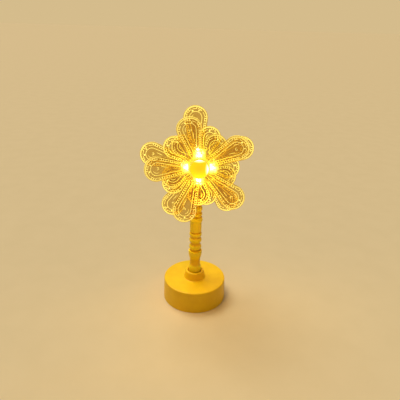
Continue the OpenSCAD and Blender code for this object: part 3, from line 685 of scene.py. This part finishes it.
print("bead profile points:", len(BEAD_PROFILE))

# %% Solder beads
TAB_BEAD = 0.0011
TERMINAL_BEAD = 0.0009
SMALL_BEAD = 0.0008
TAB_HALF = 0.0002
TERMINAL_HALF = 0.0006
PAD_APART = 0.0009


def box_middle(node):
    """Centre of a solid's box."""
    low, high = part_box(node)
    return (low + high) / 2


tab_low, tab_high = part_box("contact_plates")
terminal_low, terminal_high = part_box("switch_terminals")
wiring_z = box_middle("switch_terminals").z
board_back = min((v.co - HUB).dot(AXIS) for v in nodes["led_board"].data.vertices)
board_middle = HUB + AXIS * board_back
solder_places = [
    (Vector((tab_low.x + TAB_HALF, box_middle("cell_rear").y, tab_high.z)), TAB_BEAD),
    (Vector((tab_high.x - TAB_HALF, box_middle("cell_front").y, tab_high.z)), TAB_BEAD),
    (Vector((terminal_high.x - TERMINAL_HALF, terminal_low.y, wiring_z)), TERMINAL_BEAD),
    (Vector((0, terminal_low.y, wiring_z)), SMALL_BEAD),
    (Vector((0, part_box("resistor")[0].y, wiring_z)), SMALL_BEAD),
    (board_middle + ACROSS * PAD_APART, SMALL_BEAD),
    (board_middle - ACROSS * PAD_APART, SMALL_BEAD),
]
solder_verts, solder_faces = [], []
for at, r in solder_places:
    bead(at, r, solder_verts, solder_faces)
solder_mesh = bpy.data.meshes.new("solder_beads")
solder_mesh.from_pydata(solder_verts, [], solder_faces)
solder_mesh.materials.append(steel)
for face in solder_mesh.polygons:
    face.use_smooth = True
solder = bpy.data.objects.new("solder_beads", solder_mesh)
bpy.context.scene.collection.objects.link(solder)
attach(solder, "root")
print("solder beads:", len(solder_places))

# %% [markdown]
# ## Measuring the sheets
# The engraving has to sit exactly on its sheet, so the reach, the turn and the tip's radius are read off
# the solid's own corners instead of being written down twice. Each sheet has five petals, so its turn is
# the angle of its farthest corner within one fifth of a circle. One sheet is cupped: its petals lean
# forwards from a fold near the hub. A drawing stays flat in a petal's own plane and is leaned with it.

# %% Sheets
MM = 0.001
PETALS = 5
PETAL_PITCH = 2 * math.pi / PETALS
HUB_R = 15
ROOT_X = 13.5
ROOT_R = 6
FOLD_X = 12.5
FOLD_MARGIN = 2
CUPS = {"rear_large": 0, "rear_medium": 0, "front_large": math.radians(21), "front_medium": 0}


def measured(name):
    """Reach, tip radius and tip centre along the petals, in millimetres, and the sheet's turn and faces."""
    corners = []
    for vertex in nodes[name + "_petals"].data.vertices:
        offset = (vertex.co - HUB) / MM
        corners.append(Vector((offset.dot(ACROSS), offset.dot(UP), offset.dot(AXIS))))
    far = max(corners, key=lambda c: c.xy.length)
    angle = math.atan2(far.y, far.x) % PETAL_PITCH
    along = Vector((math.cos(angle), math.sin(angle)))
    side = Vector((-along.y, along.x))
    petal = [c.xy for c in corners if c.xy.dot(along) > c.xy.length * math.cos(PETAL_PITCH / 2)]
    tip_r = max(abs(corner.dot(side)) for corner in petal)
    hub = [c.z for c in corners if c.xy.length < FOLD_X - FOLD_MARGIN]
    back, front = min(hub), max(hub)
    cup = CUPS[name]
    rise = (front - back) * (1 - math.cos(cup)) / 2
    run = (far.xy.length - FOLD_X) * math.cos(cup) + (far.z - back - rise) * math.sin(cup)
    reach = FOLD_X + run if cup else far.xy.length
    return {"name": name, "turn": angle, "reach": reach, "tip_r": tip_r, "tip_x": reach - tip_r,
            "back": back, "thick": front - back, "cup": cup, "rise": rise}


def on_sheet(sheet, petal, x, y, height, flat=False):
    """World place of a point of a petal's own plane, at a height over the sheet's back."""
    if sheet["cup"] and x > FOLD_X and not flat:
        run = x - FOLD_X
        x = FOLD_X + run * math.cos(sheet["cup"]) - height * math.sin(sheet["cup"])
        height = sheet["rise"] + run * math.sin(sheet["cup"]) + height * math.cos(sheet["cup"])
    angle = sheet["turn"] + PETAL_PITCH * petal
    u = x * math.cos(angle) - y * math.sin(angle)
    v = x * math.sin(angle) + y * math.cos(angle)
    return HUB + (ACROSS * u + UP * v + AXIS * (sheet["back"] + height)) * MM


sheets = [measured(name) for name in CUPS]
for sheet in sheets:
    degrees = math.degrees(sheet["turn"])
    print(sheet["name"], "reach %.1f tip %.1f turn %.0f" % (sheet["reach"], sheet["tip_r"], degrees))

# %% [markdown]
# ## Drawing with strokes
# An engraved line in lit acrylic glows because its rough walls scatter the light that runs in the sheet.
# A texture could paint the lines, but would blur close up and slide off the edges. Here each line is a
# narrow ribbon of mesh on the sheet's face, with a low ridge along its middle that shows from the side.

# %% Strokes
RIDGE = 0.1
LIFT = 0.03
POINT_W = 0.25
DOT_SIDES = 10
DOT_RISE = 2 * RIDGE


class Drawing:
    """Strokes on one petal of a sheet, in millimetres in the petal's plane, kept as one mesh."""

    def __init__(self, sheet):
        self.sheet = sheet
        self.corners = []
        self.faces = []

    def stroke(self, points, width, closed=False, pointed=False):
        """A ribbon along the points, as wide as given, or pointed at both ends."""
        points = [Vector(p) for p in points]
        count = len(points)
        first = len(self.corners)
        for i, point in enumerate(points):
            before = points[i - 1] if i > 0 or closed else point
            after = points[(i + 1) % count] if i < count - 1 or closed else point
            heading = (after - before).normalized()
            side = Vector((-heading.y, heading.x))
            half = width / 2
            if pointed:
                half *= POINT_W + (1 - POINT_W) * math.sin(math.pi * (i + 0.5) / count)
            self.corners.append((*(point + side * half), 0))
            self.corners.append((*point, RIDGE))
            self.corners.append((*(point - side * half), 0))
        for i in range(count if closed else count - 1):
            here = first + 3 * i
            there = first + 3 * ((i + 1) % count)
            for lane in (0, 1):
                self.faces.append((here + lane, here + lane + 1, there + lane + 1, there + lane))

    def dot(self, x, y, r):
        """A small low dome."""
        first = len(self.corners)
        for i in range(DOT_SIDES):
            angle = 2 * math.pi * i / DOT_SIDES
            self.corners.append((x + r * math.cos(angle), y + r * math.sin(angle), 0))
        self.corners.append((x, y, DOT_RISE))
        for i in range(DOT_SIDES):
            self.faces.append((first + i, first + (i + 1) % DOT_SIDES, first + DOT_SIDES))

    def piece(self, motif, finish):
        """The strokes repeated for all petals, as an object on the sheet's front face."""
        verts = []
        faces = []
        face_level = self.sheet["thick"] + LIFT
        for petal in range(PETALS):
            start = len(verts)
            verts += [on_sheet(self.sheet, petal, x, y, face_level + lift) for x, y, lift in self.corners]
            faces += [tuple(start + c for c in face) for face in self.faces]
        return sheet_piece(self.sheet, motif, verts, faces, finish)


def sheet_piece(sheet, motif, verts, faces, finish):
    """A mesh object that rides on a sheet."""
    name = sheet["name"] + "_" + motif
    mesh = bpy.data.meshes.new(name)
    mesh.from_pydata(verts, [], faces)
    mesh.materials.append(finish)
    piece = bpy.data.objects.new(name, mesh)
    bpy.context.scene.collection.objects.link(piece)
    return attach(piece, sheet["name"] + "_petals")


print("strokes lift", LIFT, "mm and ridge", RIDGE, "mm")

# %% [markdown]
# ## The light in the lines
# The lines shine a pale gold at the petals' tips and a stronger yellow near the lights, so their finish
# takes its tone and power from the distance to the axis. The rear sheets are seen through the front ones,
# which dim them, so their lines are given more power. The cut edges of the sheets shine too, more softly.

# %% Line finishes
LINE_TONES = (linear(255, 236, 30), linear(255, 232, 110))
LINE_RADII = (0.010, 0.042)

rear_lines = lit("rear_lines", LINE_TONES, (2.0, 1.6), LINE_RADII)
front_lines = lit("front_lines", LINE_TONES, (1.55, 1.25), LINE_RADII)
LINES = {name: rear_lines if name.startswith("rear") else front_lines for name in CUPS}
bright_edge = lit("bright_edge", tones=(linear(255, 214, 50), linear(255, 226, 96)),
                  powers=(1.0, 0.92), radii=(0.015, 0.055))
print("line finishes:", rear_lines.name, front_lines.name, bright_edge.name)

# %% [markdown]
# ## Outlines of a petal
# A petal is a small disc and a large one with straight sides, so every line that runs along its edge is
# the same figure with smaller discs. One function gives that figure, open towards the hub, for any inset,
# and another gives the closed leaf inside it.

# %% Petal paths
PATH_START_R = HUB_R + 1
TIP_STEPS = 28
LEAF_ROOT_X = HUB_R + 3.6
LEAF_ROOT_R = 1.6
LEAF_TIP_STEPS = 22
LEAF_ROOT_STEPS = 8


def arc(x, y, r, start, end, steps):
    """Points of a circular arc."""
    angles = [start + (end - start) * i / steps for i in range(steps + 1)]
    return [(x + r * math.cos(a), y + r * math.sin(a)) for a in angles]


def lean(x0, r0, x1, r1):
    """Slope of the straight side that touches two discs."""
    return math.asin((r1 - r0) / (x1 - x0))


def petal_path(sheet, inset):
    """The petal's outline moved in by an inset, from one side of the hub round the tip to the other."""
    root_r = ROOT_R - inset
    tip_r = sheet["tip_r"] - inset
    slope = lean(ROOT_X, root_r, sheet["tip_x"], tip_r)
    off = root_r - ROOT_X * math.sin(slope)
    run = math.sqrt(PATH_START_R ** 2 - off ** 2)
    start_x = run * math.cos(slope) - off * math.sin(slope)
    start_y = run * math.sin(slope) + off * math.cos(slope)
    quarter = math.pi / 2 + slope
    tip = arc(sheet["tip_x"], 0, tip_r, -quarter, quarter, TIP_STEPS)
    return [(start_x, -start_y), *tip, (start_x, start_y)]


def leaf_path(sheet, inset):
    """The closed leaf inside a petal."""
    tip_r = sheet["tip_r"] - inset
    slope = lean(LEAF_ROOT_X, LEAF_ROOT_R, sheet["tip_x"], tip_r)
    quarter = math.pi / 2 + slope
    tip = arc(sheet["tip_x"], 0, tip_r, -quarter, quarter, LEAF_TIP_STEPS)
    return tip + arc(LEAF_ROOT_X, 0, LEAF_ROOT_R, quarter, 2 * math.pi - quarter, LEAF_ROOT_STEPS)


def walk(points, step):
    """Places at equal steps along a path, each with its direction."""
    points = [Vector(p) for p in points]
    places = []
    wait = step / 2
    for a, b in zip(points, points[1:]):
        length = (b - a).length
        heading = (b - a).normalized()
        at = wait
        while at < length:
            places.append((a + heading * at, heading))
            at += step
        wait = at - length
    return places


print("path points on a petal:", len(petal_path(sheets[0], 1)))

# %% [markdown]
# ## Bright edges
# The light that runs inside a sheet leaves it at the cut edge, so the whole outline shines. The edge faces
# belong to the solid, which isn't to be changed, so a thin band is laid just outside them.

# %% Edges
EDGE_GAP = 0.02
EDGE_MARGIN = 0.2
NOTCH_STEPS = 4
EDGE_STEPS = 32


def bright_rim(sheet):
    """The cut edge of a sheet, as a band just outside it."""
    slope = lean(ROOT_X, ROOT_R, sheet["tip_x"], sheet["tip_r"])
    half = slope + math.asin((ROOT_R - ROOT_X * math.sin(slope)) / HUB_R)
    quarter = math.pi / 2 + slope
    notch = arc(0, 0, HUB_R + EDGE_GAP, half - PETAL_PITCH, -half, NOTCH_STEPS)
    tip = arc(sheet["tip_x"], 0, sheet["tip_r"] + EDGE_GAP, -quarter, quarter, EDGE_STEPS)
    verts = []
    for height in (EDGE_MARGIN, sheet["thick"] - EDGE_MARGIN):
        for petal in range(PETALS):
            verts += [on_sheet(sheet, petal, x, y, height, flat=True) for x, y in notch]
            verts += [on_sheet(sheet, petal, x, y, height) for x, y in tip]
    count = len(verts) // 2
    faces = [(i, (i + 1) % count, count + (i + 1) % count, count + i) for i in range(count)]
    return sheet_piece(sheet, "bright_rim", verts, faces, bright_edge)


for sheet in sheets:
    print(bright_rim(sheet).name)

# %% [markdown]
# ## Borders
# Each petal has a thin border line, with a bolder one round the tip that thins out at its ends. Inside it
# runs a line of long dashes, and rungs join the two like a ladder: all along the sides, and in groups
# round the tip. The strokes are drawn once and repeated five times by the drawing.

# %% Borders and rungs
BORDER_INSET = 1.35
BORDER_W = 0.3
TIP_INSET = 0.7
TIP_W = 0.44
TIP_ARC = 2
TIP_ARC_STEPS = 32
INNER_INSET = 3.25
DASH = 4.2
DASH_W = 0.32
DASH_PITCH = 5.4
RUNG_W = 0.42
RUNG_PITCH = 2.3
RUNG_GROUP = 6
LADDER_END = 3


def borders(sheet):
    """Border, tip line, dashes and rungs of a sheet's petals."""
    drawing = Drawing(sheet)
    drawing.stroke(petal_path(sheet, BORDER_INSET), BORDER_W)
    tip_line = arc(sheet["tip_x"], 0, sheet["tip_r"] - TIP_INSET, -TIP_ARC, TIP_ARC, TIP_ARC_STEPS)
    drawing.stroke(tip_line, TIP_W, pointed=True)
    for at, heading in walk(petal_path(sheet, INNER_INSET), DASH_PITCH):
        drawing.stroke([at - heading * DASH / 2, at + heading * DASH / 2], DASH_W)
    for i, (at, heading) in enumerate(walk(petal_path(sheet, BORDER_INSET), RUNG_PITCH)):
        on_side = at.x < sheet["tip_x"] - LADDER_END
        if on_side or i % RUNG_GROUP < RUNG_GROUP // 2:
            inward = Vector((-heading.y, heading.x))
            drawing.stroke([at, at + inward * (INNER_INSET - BORDER_INSET)], RUNG_W)
    return drawing.piece("borders", LINES[sheet["name"]])


for sheet in sheets:
    print(borders(sheet).name)

# %% [markdown]
# ## Leaves
# In the middle of a petal is an open leaf with a bow along one side of its tip and two dots beyond it. The
# large sheets have room for a curl in the leaf and a second bow lower down. A spiral formula gives the
# curl, so its size and its turns can be changed by themselves.

# %% Leaves, curls and dots
LEAF_INSET = 5.85
LEAF_W = 0.36
BOW_STEP = 2.3
BOW_W = 0.38
BOW_FROM = 0.5
BOW_TO = 2.1
BOW_STEPS = 10
LOW_BOW_POINTS = 4
LOW_BOW_X = 4
LOW_BOW_STEP = 2
LOW_BOW_SHARE = 0.7
LOW_BOW_TAPER = 0.1
CURLED = ("rear_large", "front_large")
CURL_X = -0.6
CURL_Y = -0.9
CURL_R = 1.7
CURL_TURNS = 0.8
CURL_FROM = 1.2
CURL_CLOSING = 0.85
CURL_STEPS = 12
DOT_INSET = 4.55
DOTS = ((-0.5, 0.6), (0.35, 0.8))


def curl(x, y):
    """A spiral that winds in to its middle."""
    points = []
    for i in range(CURL_STEPS + 1):
        u = i / CURL_STEPS
        angle = CURL_FROM + 2 * math.pi * CURL_TURNS * u
        reach = CURL_R * (1 - CURL_CLOSING * u)
        points.append((x + reach * math.cos(angle), y + reach * math.sin(angle)))
    return points


def low_bow(tip_x, bow_r):
    """A short line that closes in on the leaf's middle towards the hub."""
    points = []
    for i in range(LOW_BOW_POINTS):
        y = -bow_r * (LOW_BOW_SHARE - LOW_BOW_TAPER * i)
        points.append((tip_x - LOW_BOW_X - LOW_BOW_STEP * i, y))
    return points


def leaves(sheet):
    """Leaf, bows, curl and dots of a sheet's petals."""
    drawing = Drawing(sheet)
    tip_x = sheet["tip_x"]
    bow_r = sheet["tip_r"] - LEAF_INSET - BOW_STEP
    drawing.stroke(leaf_path(sheet, LEAF_INSET), LEAF_W, closed=True)
    drawing.stroke(arc(tip_x, 0, bow_r, BOW_FROM, BOW_TO, BOW_STEPS), BOW_W, pointed=True)
    if sheet["name"] in CURLED:
        drawing.stroke(curl(tip_x + CURL_X, CURL_Y), LEAF_W)
        drawing.stroke(low_bow(tip_x, bow_r), BOW_W, pointed=True)
    dot_reach = sheet["tip_r"] - DOT_INSET
    for angle, r in DOTS:
        drawing.dot(tip_x + dot_reach * math.cos(angle), dot_reach * math.sin(angle), r)
    return drawing.piece("leaves", LINES[sheet["name"]])


for sheet in sheets:
    print(leaves(sheet).name)

# %% [markdown]
# ## Veins
# Fine lines fan out from the hub of the two front sheets, longest in the middle of each petal. Equal lines
# would look printed, so their lengths vary, from a random generator with a fixed seed for each sheet.

# %% Veins round the hub
VEINS = {"front_large": 6, "front_medium": 5}
VEIN_START = 9.6
VEIN_W = 0.36
VEIN_STEPS = 5
VEIN_LEAST_END = HUB_R - 1
VEIN_REACH = 9
VEIN_SHORTEST = 0.55


def veins(sheet, count, seed):
    """Pointed lines that fan out from the hub into each petal."""
    rng = random.Random(seed)
    drawing = Drawing(sheet)
    for i in range(count):
        share = (i + 0.5) / count
        angle = PETAL_PITCH * (share - 0.5)
        nearness = 1 - abs(2 * share - 1)
        end = VEIN_LEAST_END + VEIN_REACH * nearness * rng.uniform(VEIN_SHORTEST, 1)
        radii = [VEIN_START + (end - VEIN_START) * u / VEIN_STEPS for u in range(VEIN_STEPS + 1)]
        drawing.stroke([(r * math.cos(angle), r * math.sin(angle)) for r in radii], VEIN_W, pointed=True)
    return drawing.piece("veins", LINES[sheet["name"]])


for seed, sheet in enumerate(sheets):
    if sheet["name"] in VEINS:
        print(veins(sheet, VEINS[sheet["name"]], seed).name)
